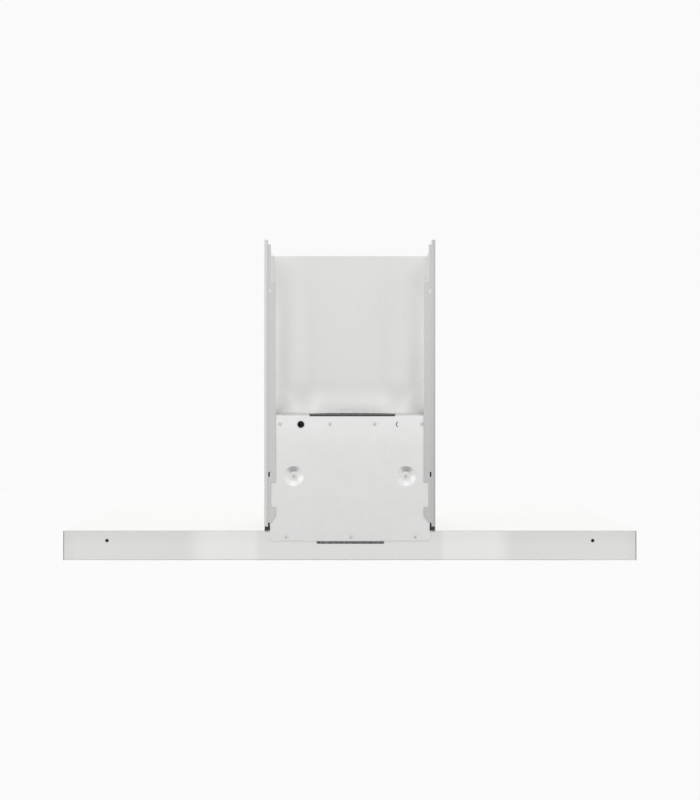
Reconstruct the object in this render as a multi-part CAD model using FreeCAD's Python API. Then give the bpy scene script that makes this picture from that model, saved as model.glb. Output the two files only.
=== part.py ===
import FreeCAD, Part
import math
import os

from FreeCAD import Vector

# Wall-mounted chimney range hood, 900 mm wide, drawn in millimetres.
# The origin is midway between the two holes that fix the canopy to the wall, on the outer
# face of the canopy's back.  +X runs along the wall, +Y points into the wall, +Z is up, so
# the cook stands on the -Y side.

os.makedirs("parts", exist_ok=True)

# ---------------------------------------------------------------- driving dimensions
# canopy
canopy_width = 900.0
canopy_depth = 497.0
canopy_height = 47.0
canopy_sheet = 0.8
canopy_hem = 14.0  # flange turned in along the lower edge
canopy_corner_r = 3.0
canopy_bend_r = 1.6  # outside radius of its folds
fixing_hole_r = 2.75
fixing_hole_spacing = 762.0
fixing_hole_above_bottom = 31.0
cable_slot_width = 106.0
cable_slot_x = -1.0
cable_slot_corner = 1.5
cable_slot_height = 8.0
cable_slot_above_bottom = 26.0
intake_margin = 17.0  # from the blower box's walls to the canopy's intake opening

# planes behind the canopy, measured towards the wall
panel_sheet = 1.0
flange_gap = 0.4  # back panel to the upper cover's flange
cover_gap = 0.2  # between the two covers' flanges
cover_sheet = 0.8

# chimney covers; heights are above the canopy's top
chimney_width = 268.0
chimney_depth = 250.0
chimney_bend_r = 1.8  # outside radius of the covers' upright folds
cover_side_gap = 0.5  # between the nested covers' side walls
lower_cover_height = 455.6
lower_flange = 6.0
upper_cover_drop = 7.1  # the upper cover's top lies this far below the lower one's
upper_cover_rest = 12.0  # its lower edge, on the feet
upper_flange = 16.6
upper_notch_flange = 8.9
top_notch_height = 59.0
main_flange_rise = 75.5
tab_top_rise = 36.2
tab_bottom_rise = 22.0
cover_hole_inset = 8.6
cover_hole_width = 4.6
cover_hole_height = 7.0
cover_hole_drop = 72.3  # upper holes, below the upper cover's top
cover_hole_rise = 88.0  # lower holes
foot_height = 6.3
foot_width = 6.9
foot_length = 12.0
foot_chamfer = 2.4

# blower box and its back panel
box_height = 180.0
box_side_gap = 12.0  # from the lower cover's side to the box
box_front_gap = 25.0
box_sheet = 0.8
box_flange = 12.0
box_top_flange = 22.0
panel_side_gap = 8.5
panel_lap = 16.8  # the panel laps over the canopy's back
panel_corner_r = 5.0
dimple_x = 88.0
dimple_rise = 85.0
dimple_r = 15.5
dimple_floor_r = 7.5
dimple_depth = 5.0
panel_screw_head_r = 2.7
panel_screw_head_t = 1.4
panel_screw_r = 1.6
panel_screw_length = 8.0
top_screw_drop = 13.0
outer_screw_insets = (16.0, 12.3)  # from the panel's edges
inner_screw_spread = 35.0  # either side of the outlet's middle
bottom_screw_drop = 10.0  # below the canopy's top
bottom_screw_x = -1.7
bottom_screw_spread = 101.2
cable_hole_x = 76.8
cable_hole_drop = 13.7
cable_hole_r = 4.4
grommet_flange = 1.0
grommet_flange_t = 1.2
grommet_bore_r = 3.6
knockout_slot = 1.1
knockout_angle = 70.0

# blower: the scroll's axis runs along X
scroll_x = -4.0
scroll_rise = 88.0
scroll_width = 116.0
scroll_wall = 1.5
scroll_start_r = 64.0
scroll_end_r = 92.0
scroll_rear_gap = 4.8  # to the strap
tongue_offset = 24.0  # from the axis to the tongue, towards the wall
spiral_arcs = 4
inlet_step = 1.0  # the inlet is this much larger than the wheel's eye
inlet_lip_r = 4.0
wheel_tip_gap = 6.0
wheel_side_gap = 9.0
blade_depth = 11.0
wheel_ring = 3.0
wheel_disc = 2.0
blade_count = 26
blade_thickness = 1.0
blade_bow = 3.2
blade_lean = 10.0  # degrees
hub_r = 13.0
hub_length = 34.0
shaft_r = 4.0
shaft_clearance = 0.05
motor_r = 40.0
motor_gap = 13.0  # from the scroll to the motor
motor_end_gap = 8.7  # from the motor to the box's wall
motor_boss_r = 11.0
motor_boss_length = 5.0
motor_rib_count = 10
motor_rib_height = 2.5
motor_rib_share = 0.45  # of the pitch
bracket_ring = 3.0
bracket_ring_width = 10.0
bracket_arm_count = 3
bracket_arm_width = 10.0
bracket_arm_sheet = 2.0
bracket_arm_start = 30.0  # degrees
bracket_foot_gap = 12.0  # from the inlet's lip to the feet
strap_sheet = 1.5
strap_height = 22.0
strap_margin = 12.0
outlet_plate_margin = 5.0
outlet_plate_sheet = 1.5

# outlet collar and backdraft damper
collar_body_r = 70.0
collar_rim = 1.8
collar_rim_t = 2.4
collar_tongue_width = 133.5  # the rim's tongue reaches back to the panel
collar_lip = 0.8  # and hooks over the panel's top edge
collar_wall = 2.5
collar_socket_depth = 13.0
collar_step = 2.0  # where the duct stops, above the flaps
collar_ledge = 3.0  # where the flaps rest
collar_depth = 20.0  # below the box's top
collar_ledge_t = 2.0
collar_fit = 0.3
flap_edge_gap = 0.5
flap_t = 1.5
flap_clearance = 0.25
damper_pin_r = 1.5
knuckle_r = 3.0
knuckle_length = 16.0
knuckle_gap = 0.5
running_clearance = 0.05

# electrical pieces in the blower box
capacitor_r = 17.5
capacitor_length = 66.0
capacitor_rim = 1.5
capacitor_stud_length = 8.0
capacitor_front_gap = 29.0
capacitor_rise = 54.0
clip_sheet = 0.8
clip_height = 14.0
clip_wing = 10.0
terminal_width = 52.0
terminal_depth = 30.0
terminal_height = 48.0
terminal_side_gap = 39.0
terminal_drop = 49.0
terminal_wall = 2.0
terminal_lid_t = 2.0
gland_r = 6.0
gland_length = 6.0

# underside of the canopy
underframe_sheet = 1.0
underframe_fit = 0.5
filter_count = 3
filter_border = 40.0  # from the canopy's side to the outer filters
filter_divider = 17.0  # between filters
front_strip = 105.0  # from the canopy's front to the filters
filter_height = 9.0
filter_gap = 1.0  # all round, to the opening in the underframe
filter_rear = 32.0  # from the canopy's back to the filter's rear edge
opening_lip = 6.0
filter_bar = 12.0
filter_front_bar = 26.0
mesh_sheet = 1.2
mesh_pitch = 14.0
mesh_wave = 4.0
tab_width = 24.0
tab_length = 7.0
tab_t = 1.2
tab_inset = 46.0
latch_width = 40.0
latch_length = 14.0
latch_travel = 5.0
latch_clearance = 0.3
latch_nose = 0.6
latch_rib = 1.5
latch_rib_height = 1.6
latch_roof = 3.0
grip_depth = 2.5
grip_wall = 3.5

# lamps
lamp_side = 150.0  # from the canopy's side
lamp_front = 50.0
lamp_hole_r = 30.0
lamp_bezel_width = 4.0
lamp_bezel_t = 0.8
lamp_can_fit = 1.5
lamp_can_height = 24.0
lamp_can_wall = 1.0
lamp_flange = 4.0
lamp_lens_t = 3.0

# controls on the canopy's front
button_count = 5
button_pitch = 26.0
button_r = 5.5
button_edge = 0.6
button_lug = 1.5  # how far the two lugs reach past the button's side
button_lug_t = 1.6
button_lug_width = 4.0
button_stem_width = 5.0
button_proud = 2.4
button_travel = 1.5
button_clearance = 0.3
button_play = 0.1
button_stem = 8.0
switch_gap = 0.2  # left between stem and switch when pressed
guide_margin = 20.0
guide_height = 26.0
guide_t = 4.0
guide_depth = 20.0
guide_wall = 2.0
bezel_margin = 2.0
bezel_seat = 4.0  # the bezel laps this far over the canopy's cut-out
bezel_height = 22.0
bezel_t = 1.2
board_t = 1.6
board_margin = 3.0
switch_size = 6.0
switch_height = 4.3

# ---------------------------------------------------------------- derived sizes and planes
half_turn = 180.0
canopy_bottom_z = -fixing_hole_above_bottom
canopy_top_z = canopy_bottom_z + canopy_height
canopy_top_under = canopy_top_z - canopy_sheet
canopy_front_y = -canopy_depth
upper_flange_y = panel_sheet + flange_gap  # front face of the upper cover's flange
lower_flange_y = upper_flange_y + cover_sheet + cover_gap
wall_y = lower_flange_y + cover_sheet  # the wall itself
chimney_front_y = wall_y - chimney_depth
lower_cover_top = canopy_top_z + lower_cover_height
upper_cover_top = lower_cover_top - upper_cover_drop

box_width = chimney_width - 2 * box_side_gap
box_depth = chimney_depth - box_front_gap
box_inner_x = box_width / 2 - box_sheet
panel_width = chimney_width - 2 * panel_side_gap
panel_top = canopy_top_z + box_height
panel_bottom = canopy_top_z - panel_lap
box_top_under = panel_top - box_sheet
top_screw_z = panel_top - top_screw_drop
top_screw_xs = (
    panel_width / 2 - outer_screw_insets[0], scroll_x + inner_screw_spread,
    scroll_x - inner_screw_spread, outer_screw_insets[1] - panel_width / 2,
)
bottom_screw_z = canopy_top_z - bottom_screw_drop
bottom_screw_xs = [bottom_screw_x + side * bottom_screw_spread for side in (1, 0, -1)]
cable_hole_z = panel_top - cable_hole_drop
dimple_z = canopy_top_z + dimple_rise
dimple_floor_y = panel_sheet - dimple_depth  # outer face of the dimple's floor
strap_y = dimple_floor_y - panel_sheet  # where the strap lies against the dimples
strap_front_y = strap_y - strap_sheet

tongue_angle = math.degrees(math.acos(tongue_offset / scroll_start_r))
spiral_turn = tongue_angle + half_turn
scroll_growth = (scroll_end_r - scroll_start_r) / spiral_turn  # per degree
scroll_rear_r = scroll_start_r + scroll_growth * tongue_angle
scroll_y = strap_front_y - scroll_rear_gap - scroll_wall - scroll_rear_r
scroll_z = canopy_top_z + scroll_rise
scroll_face_x = scroll_x + scroll_width / 2 + scroll_wall  # the motor's side
outlet_y = scroll_y + (tongue_offset - scroll_end_r) / 2
collar_bottom_z = panel_top - collar_depth
scroll_top_z = collar_bottom_z - outlet_plate_sheet
wheel_r = scroll_start_r - wheel_tip_gap
wheel_inner_r = wheel_r - blade_depth
wheel_width = scroll_width - 2 * wheel_side_gap
inlet_r = wheel_inner_r + inlet_step
motor_face_x = scroll_face_x + motor_gap
motor_length = box_inner_x - motor_face_x - motor_end_gap
bracket_foot_r = inlet_r + inlet_lip_r + bracket_foot_gap

collar_rim_r = collar_body_r + collar_rim
collar_socket_r = collar_body_r - collar_wall
collar_chamber_r = collar_socket_r - collar_step
collar_ledge_r = collar_chamber_r - collar_ledge
flap_r = collar_chamber_r - flap_edge_gap
flap_axis_z = collar_bottom_z + collar_ledge_t + flap_clearance + knuckle_r

capacitor_x = -box_inner_x + clip_sheet + capacitor_r
capacitor_y = -box_depth + capacitor_front_gap
capacitor_z = canopy_top_z + capacitor_rise
terminal_x = box_width / 2 - terminal_side_gap
terminal_z = panel_top - terminal_drop

hem_top = canopy_bottom_z + canopy_sheet
sill_z = hem_top + underframe_sheet  # the underframe's upper face
filter_length = canopy_depth - filter_rear - front_strip
filter_width = (canopy_width - 2 * filter_border - (filter_count - 1) * filter_divider) / filter_count
filter_pitch = filter_width + filter_divider
filter_xs = [(i - (filter_count - 1) / 2) * filter_pitch for i in range(filter_count)]
filter_rear_y = -filter_rear
opening_rear_y = filter_rear_y + filter_gap
filter_front_y = filter_rear_y - filter_length
opening_front_y = filter_front_y - filter_gap
latch_height = filter_height - latch_roof - 2 * latch_clearance
latch_rib_z = sill_z + (filter_height - latch_roof - latch_rib_height) / 2

lamp_x = canopy_width / 2 - lamp_side
lamp_y = canopy_front_y + lamp_front
lamp_lens_r = lamp_hole_r - lamp_flange
lamp_can_r = lamp_hole_r - lamp_can_fit

control_z = canopy_bottom_z + canopy_height / 2
button_xs = [(i - (button_count - 1) / 2) * button_pitch for i in range(button_count)]
guide_width = (button_count - 1) * button_pitch + 2 * guide_margin
bezel_width = guide_width + 2 * bezel_margin
button_face_y = canopy_front_y - bezel_t - button_proud
button_lug_y = canopy_front_y + canopy_sheet + guide_t + button_play
stem_end_y = button_lug_y + button_lug_t + button_stem - button_travel
switch_front_y = stem_end_y + button_travel + switch_gap
board_y = switch_front_y + switch_height

# tests on edges
parallel = 0.99  # an edge with at least this share of its direction along an axis runs along it
touch = 0.01  # places closer than this are level
full_turn = 360  # degrees

X = Vector(1, 0, 0)
Y = Vector(0, 1, 0)
Z = Vector(0, 0, 1)


# ---------------------------------------------------------------- helpers
def block(x0, y0, z0, x1, y1, z1):
    """A box between two corners, given in any order."""
    low = Vector(min(x0, x1), min(y0, y1), min(z0, z1))
    return Part.makeBox(abs(x1 - x0), abs(y1 - y0), abs(z1 - z0), low)


def rod(radius, start, end):
    """A round bar between two points."""
    along = end - start
    return Part.makeCylinder(radius, along.Length, start, along)


def tube(outer_r, inner_r, start, end):
    return rod(outer_r, start, end).cut(rod(inner_r, start, end))


def prism(points, along):
    """A polygon pushed along a vector."""
    wire = Part.makePolygon(points + points[:1])
    return Part.Face(wire).extrude(along)


def rounded_plate(width, height, radius, centre, thickness):
    """An upright plate in the XZ plane with four round corners; thickness runs along +Y."""
    cx, y, cz = centre
    plate = block(cx - width / 2, y, cz - height / 2, cx + width / 2, y + thickness, cz + height / 2)
    corners = [e for e in plate.Edges if abs(e.tangentAt(e.FirstParameter).y) > parallel]
    return plate.makeFillet(radius, corners)


def slot_plate(width, height, centre, thickness):
    """An upright plate with round ends; thickness runs along +Y."""
    cx, y, cz = centre
    reach = (width - height) / 2
    body = block(cx - reach, y, cz - height / 2, cx + reach, y + thickness, cz + height / 2)
    for x in (cx - reach, cx + reach):
        body = body.fuse(rod(height / 2, Vector(x, y, cz), Vector(x, y + thickness, cz)))
    return body.removeSplitter()


def turned(points, start, direction=Z):
    """Revolve (radius, height) points about an axis through start; heights run along direction."""
    side = X if abs(direction.x) < 0.5 else Y
    profile = [start + side * r + direction * h for r, h in points]
    face = Part.Face(Part.makePolygon(profile + profile[:1]))
    return face.revolve(start, direction, full_turn)


def front_rounded(x0, y0, z0, x1, y1, z1, radius):
    """A box whose two upright edges on the y0 side are round."""
    body = block(x0, y0, z0, x1, y1, z1)
    upright = [
        e for e in body.Edges
        if abs(e.tangentAt(e.FirstParameter).z) > parallel and abs(e.CenterOfMass.y - y0) < touch
    ]
    return body.makeFillet(radius, upright)


def folds_at(body, y):
    """The two long edges along X at a given y."""
    return [e for e in body.Edges
            if abs(e.tangentAt(e.FirstParameter).x) > parallel and abs(e.CenterOfMass.y - y) < touch]


def top_rounded(body, radius):
    """Rounds the edges round a box's top, apart from the one along its back."""
    box = body.BoundBox
    rim = [
        e for e in body.Edges
        if e.BoundBox.ZMin > box.ZMax - touch and e.CenterOfMass.y < box.YMax - touch
    ]
    return body.makeFillet(radius, rim)


def mirrored_x(shape):
    return shape.mirror(Vector(0, 0, 0), X)


def export(name, shape):
    if not shape.isValid():
        raise ValueError(name + " is not a valid shape")
    shape.exportStep("parts/" + name + ".step")


def group(shapes):
    """Separate pieces that share one node."""
    return Part.makeCompound(shapes)


# ---------------------------------------------------------------- canopy
def canopy_shell():
    """Top, front and sides in one folded sheet, hemmed along the lower edge."""
    half = canopy_width / 2
    body = top_rounded(front_rounded(-half, canopy_front_y, canopy_bottom_z, half, 0,
                                     canopy_top_z, canopy_corner_r), canopy_bend_r)
    hollow = top_rounded(front_rounded(
        -half + canopy_sheet, canopy_front_y + canopy_sheet, hem_top,
        half - canopy_sheet, 0, canopy_top_under, canopy_corner_r - canopy_sheet,
    ), canopy_bend_r - canopy_sheet)
    mouth = block(
        -half + canopy_hem, canopy_front_y + canopy_hem, canopy_bottom_z,
        half - canopy_hem, 0, hem_top,
    )
    rail_space = block(-half + canopy_sheet, -canopy_hem, canopy_bottom_z,
                       half - canopy_sheet, 0, hem_top)
    intake_x = box_width / 2 - intake_margin
    intake = block(-intake_x, -box_depth + intake_margin, canopy_top_under,
                   intake_x, -intake_margin, canopy_top_z)
    body = body.cut(hollow).cut(mouth).cut(rail_space).cut(intake)
    return body.cut(slot_plate(bezel_width - 2 * bezel_seat, bezel_height - 2 * bezel_seat,
                               (0, canopy_front_y, control_z), canopy_sheet))


def canopy_back():
    """The rail across the canopy's back: a channel welded in between its sides and its top."""
    half = canopy_width / 2 - canopy_bend_r
    body = block(-half, -canopy_hem, canopy_bottom_z, half, 0, canopy_top_under)
    body = body.makeFillet(canopy_bend_r, folds_at(body, 0))
    hollow = block(-half, -canopy_hem, hem_top, half, -canopy_sheet, canopy_top_under - canopy_sheet)
    hollow = hollow.makeFillet(canopy_bend_r - canopy_sheet, folds_at(hollow, -canopy_sheet))
    body = body.cut(hollow)
    holes = [(side * fixing_hole_spacing / 2, 0, fixing_hole_r) for side in (-1, 1)]
    holes += [(x, bottom_screw_z, panel_screw_r) for x in bottom_screw_xs]
    for x, z, radius in holes:
        body = body.cut(rod(radius, Vector(x, -canopy_sheet, z), Vector(x, 0, z)))
    slot_z = canopy_bottom_z + cable_slot_above_bottom + cable_slot_height / 2
    return body.cut(rounded_plate(cable_slot_width, cable_slot_height, cable_slot_corner,
                                  (cable_slot_x, -canopy_sheet, slot_z), canopy_sheet))


def underframe():
    """The plate under the canopy, with the filters' openings and the lamps' holes."""
    inset = canopy_sheet + underframe_fit
    half = canopy_width / 2 - inset
    plate = front_rounded(-half, canopy_front_y + inset, hem_top,
                          half, -canopy_bend_r - underframe_fit, sill_z, canopy_corner_r - inset)
    for x in filter_xs:
        side = filter_width / 2 + filter_gap
        plate = plate.cut(block(x - side, opening_front_y, hem_top, x + side, opening_rear_y, sill_z))
        for edge, outward in ((x - side, -1), (x + side, 1)):
            lip = block(edge, opening_front_y, sill_z,
                        edge + outward * underframe_sheet, opening_rear_y, sill_z + opening_lip)
            plate = plate.fuse(lip)
    for x in (-lamp_x, lamp_x):
        plate = plate.cut(rod(lamp_hole_r, Vector(x, lamp_y, hem_top), Vector(x, lamp_y, sill_z)))
    return plate.removeSplitter()


# ---------------------------------------------------------------- chimney covers
def channel(width, front_y, rear_y, z0, z1, bend_r):
    """Front and two side walls of a cover, folded at the front, open towards the wall."""
    half = width / 2
    outer = front_rounded(-half, front_y, z0, half, rear_y, z1, bend_r)
    inner = front_rounded(-half + cover_sheet, front_y + cover_sheet, z0, half - cover_sheet,
                          rear_y, z1, bend_r - cover_sheet)
    return outer.cut(inner)


def lower_chimney_cover():
    half = chimney_width / 2
    body = channel(chimney_width, chimney_front_y, wall_y, canopy_top_z, lower_cover_top,
                   chimney_bend_r)
    flange_bottom = canopy_top_z + foot_height
    for side in (-1, 1):
        flange = block(side * half, lower_flange_y, flange_bottom,
                       side * (half - lower_flange), wall_y, lower_cover_top)
        foot_relief = block(side * (half - cover_sheet), lower_flange_y, canopy_top_z,
                            side * (half - lower_flange), wall_y, flange_bottom)
        body = body.fuse(flange).cut(foot_relief)
    return body.removeSplitter()


def upper_chimney_cover():
    inset = cover_sheet + cover_side_gap
    width = chimney_width - 2 * inset
    half = width / 2
    bottom = canopy_top_z + upper_cover_rest
    tab_bottom = canopy_top_z + tab_bottom_rise
    tab_top = canopy_top_z + tab_top_rise
    main_bottom = canopy_top_z + main_flange_rise
    hole_x = chimney_width / 2 - cover_hole_inset
    rear = upper_flange_y + cover_sheet
    body = channel(width, chimney_front_y + inset, rear, bottom, upper_cover_top, chimney_bend_r)
    wide = half - upper_flange
    narrow = half - upper_notch_flange
    notch_z = upper_cover_top - top_notch_height
    for side in (-1, 1):
        outline = [
            (half, bottom), (narrow, bottom), (wide, tab_bottom), (wide, tab_top),
            (narrow, tab_top), (narrow, main_bottom), (wide, main_bottom),
            (wide, notch_z), (narrow, notch_z), (narrow, upper_cover_top), (half, upper_cover_top),
        ]
        points = [Vector(side * x, upper_flange_y, z) for x, z in outline]
        flange = prism(points, Y * cover_sheet)
        for z in (upper_cover_top - cover_hole_drop, canopy_top_z + cover_hole_rise):
            hole = block(side * (hole_x - cover_hole_width / 2), upper_flange_y,
                         z - cover_hole_height / 2,
                         side * (hole_x + cover_hole_width / 2), rear,
                         z + cover_hole_height / 2)
            flange = flange.cut(hole)
        body = body.fuse(flange)
    return body.removeSplitter()


def chimney_feet():
    """Plastic corner feet: the lower cover's flange and the upper cover stand on them."""
    outer = chimney_width / 2 - cover_sheet
    inner = outer - foot_width
    top = canopy_top_z + foot_height
    rest_z = canopy_top_z + upper_cover_rest
    step_y = upper_flange_y - cover_gap
    rear = block(inner, step_y, canopy_top_z, outer, wall_y, top)
    outline = [
        (outer, canopy_top_z), (inner, canopy_top_z), (inner, rest_z - foot_chamfer),
        (inner + foot_chamfer, rest_z), (outer, rest_z),
    ]
    riser = prism([Vector(x, step_y - foot_length, z) for x, z in outline], Y * foot_length)
    foot = rear.fuse(riser).removeSplitter()
    return group([foot, mirrored_x(foot)])


# ---------------------------------------------------------------- blower box
def blower_box():
    half = box_width / 2
    outer = block(-half, -box_depth, canopy_top_z, half, 0, panel_top)
    inner = block(-half + box_sheet, -box_depth + box_sheet, canopy_top_z + box_sheet,
                  half - box_sheet, -box_sheet, box_top_under)
    body = outer.cut(inner)
    floor_mouth = block(-half + box_flange, -box_depth + box_flange, canopy_top_z,
                        half - box_flange, -box_flange, canopy_top_z + box_sheet)
    rear_mouth = block(-half + box_flange, -box_sheet, canopy_top_z + box_flange,
                       half - box_flange, 0, panel_top - box_top_flange)
    body = body.cut(floor_mouth).cut(rear_mouth)
    centre = Vector(scroll_x, outlet_y, box_top_under)
    body = body.cut(rod(collar_body_r + collar_fit, centre, centre + Z * box_sheet))
    for x in top_screw_xs:
        body = body.cut(rod(panel_screw_r, Vector(x, -box_sheet, top_screw_z),
                            Vector(x, 0, top_screw_z)))
    for x in (-cable_hole_x, cable_hole_x):
        body = body.cut(rod(cable_hole_r, Vector(x, -box_sheet, cable_hole_z),
                            Vector(x, 0, cable_hole_z)))
    return body


def dimple_at(x, panel):
    """Press a round dimple with sloping walls into the panel, away from the wall."""
    start = Vector(x, panel_sheet, dimple_z)
    inward = Y * -1
    outer_points = [(0, 0), (dimple_r + panel_sheet, 0), (dimple_r + panel_sheet, panel_sheet),
                    (dimple_floor_r + panel_sheet, dimple_depth + panel_sheet),
                    (0, dimple_depth + panel_sheet)]
    inner_points = [(0, 0), (dimple_r, 0), (dimple_floor_r, dimple_depth), (0, dimple_depth)]
    cup = turned(outer_points, start, inward)
    recess = turned(inner_points, start, inward)
    return panel.fuse(cup).cut(recess)


def blower_back_panel():
    panel = rounded_plate(panel_width, panel_top - panel_bottom, panel_corner_r,
                          (0, 0, (panel_top + panel_bottom) / 2), panel_sheet)
    for x in (-dimple_x, dimple_x):
        panel = dimple_at(x, panel)
        panel = panel.cut(rod(panel_screw_r, Vector(x, strap_y, dimple_z),
                              Vector(x, dimple_floor_y, dimple_z)))
    holes = [(x, top_screw_z, panel_screw_r) for x in top_screw_xs]
    holes += [(x, bottom_screw_z, panel_screw_r) for x in bottom_screw_xs]
    holes.append((cable_hole_x, cable_hole_z, cable_hole_r))
    for x, z, radius in holes:
        panel = panel.cut(rod(radius, Vector(x, 0, z), Vector(x, panel_sheet, z)))
    knockout = tube(cable_hole_r, cable_hole_r - knockout_slot,
                    Vector(-cable_hole_x, 0, cable_hole_z),
                    Vector(-cable_hole_x, panel_sheet, cable_hole_z))
    reach = 2 * cable_hole_r
    spread = math.radians(knockout_angle)
    wedge = [
        Vector(-cable_hole_x, 0, cable_hole_z),
        Vector(-cable_hole_x + reach * math.cos(spread), 0, cable_hole_z - reach * math.sin(spread)),
        Vector(-cable_hole_x + reach, 0, cable_hole_z),
        Vector(-cable_hole_x + reach * math.cos(spread), 0, cable_hole_z + reach * math.sin(spread)),
    ]
    return panel.cut(knockout.common(prism(wedge, Y * panel_sheet))).removeSplitter()


def panel_screw(x, y, z):
    """A pan-head screw with its head's underside at y; the shank runs away from the wall."""
    points = [(0, -panel_screw_head_t), (panel_screw_head_r, -panel_screw_head_t),
              (panel_screw_head_r, 0), (panel_screw_r, 0), (panel_screw_r, panel_screw_length),
              (0, panel_screw_length)]
    return turned(points, Vector(x, y, z), Y * -1)


def back_panel_screws():
    spots = [(x, top_screw_z) for x in top_screw_xs] + [(x, bottom_screw_z) for x in bottom_screw_xs]
    return group([panel_screw(x, panel_sheet, z) for x, z in spots])


def strap_screws():
    return group([panel_screw(x, dimple_floor_y, dimple_z) for x in (-dimple_x, dimple_x)])


def blower_strap():
    """The strap that hangs the scroll from the two dimples."""
    half = dimple_x + strap_margin
    bottom = dimple_z - strap_height / 2
    strap = block(-half, strap_front_y, bottom, half, strap_y, bottom + strap_height)
    for x in (-dimple_x, dimple_x):
        strap = strap.cut(rod(panel_screw_r, Vector(x, strap_front_y, dimple_z),
                              Vector(x, strap_y, dimple_z)))
    return strap


def cable_grommet():
    """Rubber ring through the panel and the box's flange, with a lip on each side."""
    grip = panel_sheet + box_sheet
    lip_r = cable_hole_r + grommet_flange
    points = [
        (grommet_bore_r, -grommet_flange_t), (lip_r, -grommet_flange_t), (lip_r, 0),
        (cable_hole_r, 0), (cable_hole_r, grip), (lip_r, grip),
        (lip_r, grip + grommet_flange_t), (grommet_bore_r, grip + grommet_flange_t),
    ]
    return turned(points, Vector(cable_hole_x, panel_sheet, cable_hole_z), Y * -1)


# ---------------------------------------------------------------- blower
def spiral_point(turn, grow):
    """A point of the scroll, turn degrees on from the tongue, grown outwards by grow."""
    radius = scroll_start_r + scroll_growth * turn + grow
    angle = math.radians(tongue_angle - turn)
    return Vector(0, scroll_y + radius * math.cos(angle), scroll_z + radius * math.sin(angle))


def scroll_wire(grow, top):
    """Closed outline of the scroll's air space, grown outwards by grow."""
    step = spiral_turn / spiral_arcs
    edges = []
    for i in range(spiral_arcs):
        bend = [spiral_point((i + part) * step, grow) for part in (0.0, 0.5, 1.0)]
        edges.append(Part.Arc(*bend).toShape())
    first = spiral_point(0, grow)
    last = spiral_point(spiral_turn, grow)
    top_last = Vector(0, last.y, top)
    top_first = Vector(0, first.y, top)
    for start, end in ((last, top_last), (top_last, top_first), (top_first, first)):
        edges.append(Part.LineSegment(start, end).toShape())
    return Part.Wire(edges)


def scroll_prism(grow, x0, x1, top):
    face = Part.Face(scroll_wire(grow, top))
    return face.extrude(X * (x1 - x0)).translated(X * x0)


def scroll_wrap():
    """The spiral strip round the wheel, open at both sides and at the top."""
    x0 = scroll_x - scroll_width / 2
    x1 = scroll_x + scroll_width / 2
    outer = scroll_prism(scroll_wall, x0, x1, scroll_top_z)
    inner = scroll_prism(0.0, x0, x1, scroll_top_z)
    return outer.cut(inner)


def scroll_side(side):
    """A side plate with a rolled inlet lip and a lug that reaches the strap."""
    x_in = scroll_x + side * scroll_width / 2
    x_out = x_in + side * scroll_wall
    plate = scroll_prism(scroll_wall, min(x_in, x_out), max(x_in, x_out), scroll_top_z)
    lug_bottom = dimple_z - strap_height / 2
    lug = block(min(x_in, x_out), scroll_y, lug_bottom, max(x_in, x_out),
                strap_front_y, lug_bottom + strap_height)
    plate = plate.fuse(lug)
    axis = X * -side
    start = Vector(x_out, scroll_y, scroll_z)
    plate = plate.cut(rod(inlet_r + inlet_lip_r, start, start + axis * scroll_wall))
    lip = [
        (inlet_r + inlet_lip_r, 0), (inlet_r + inlet_lip_r, scroll_wall),
        (inlet_r + scroll_wall, inlet_lip_r + scroll_wall), (inlet_r, inlet_lip_r + scroll_wall),
    ]
    return plate.fuse(turned(lip, start, axis)).removeSplitter()


def outlet_plate():
    """A square plate that leads the scroll's square mouth to the round collar."""
    half = collar_body_r + outlet_plate_margin
    plate = block(scroll_x - half, outlet_y - half, scroll_top_z,
                  scroll_x + half, outlet_y + half, collar_bottom_z)
    centre = Vector(scroll_x, outlet_y, scroll_top_z)
    return plate.cut(rod(collar_ledge_r, centre, centre + Z * outlet_plate_sheet))


def blade(angle):
    """One forward-curved blade, bowed between the wheel's two radii, from ring to ring."""
    lean = math.radians(blade_lean)
    spin = math.radians(angle)

    def at(radius, extra, offset):
        a = spin + extra
        radial = Vector(0, math.cos(a), math.sin(a))
        across = Vector(0, -math.sin(a), math.cos(a))
        return Vector(x0, scroll_y, scroll_z) + radial * radius + across * offset

    x0 = scroll_x - wheel_width / 2 + wheel_ring
    half = blade_thickness / 2
    middle_r = (wheel_r + wheel_inner_r) / 2
    outer_r = wheel_r - blade_thickness
    front = Part.Arc(at(wheel_inner_r, 0, -half), at(middle_r, lean / 2, blade_bow / 2 - half),
                     at(outer_r, lean, -half)).toShape()
    back = Part.Arc(at(outer_r, lean, half), at(middle_r, lean / 2, blade_bow / 2 + half),
                    at(wheel_inner_r, 0, half)).toShape()
    edges = [
        front, Part.LineSegment(front.Vertexes[-1].Point, back.Vertexes[0].Point).toShape(),
        back, Part.LineSegment(back.Vertexes[-1].Point, front.Vertexes[0].Point).toShape(),
    ]
    return Part.Face(Part.Wire(edges)).extrude(X * (wheel_width - 2 * wheel_ring))


def impeller():
    """Double-inlet wheel: centre disc and hub, two end rings and the blades between them."""
    centre = Vector(scroll_x, scroll_y, scroll_z)
    disc = rod(wheel_r, centre - X * wheel_disc / 2, centre + X * wheel_disc / 2)
    hub = rod(hub_r, centre - X * hub_length / 2, centre + X * hub_length / 2)
    pieces = [disc, hub]
    for side in (-1, 1):
        face = centre + X * side * (wheel_width / 2)
        pieces.append(tube(wheel_r, wheel_inner_r + 2 * blade_thickness, face,
                           face - X * side * wheel_ring))
    pieces += [blade(2 * half_turn * i / blade_count) for i in range(blade_count)]
    body = pieces[0].multiFuse(pieces[1:]).removeSplitter()
    return body.cut(rod(shaft_r, centre - X * wheel_width, centre + X * wheel_width))


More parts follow.
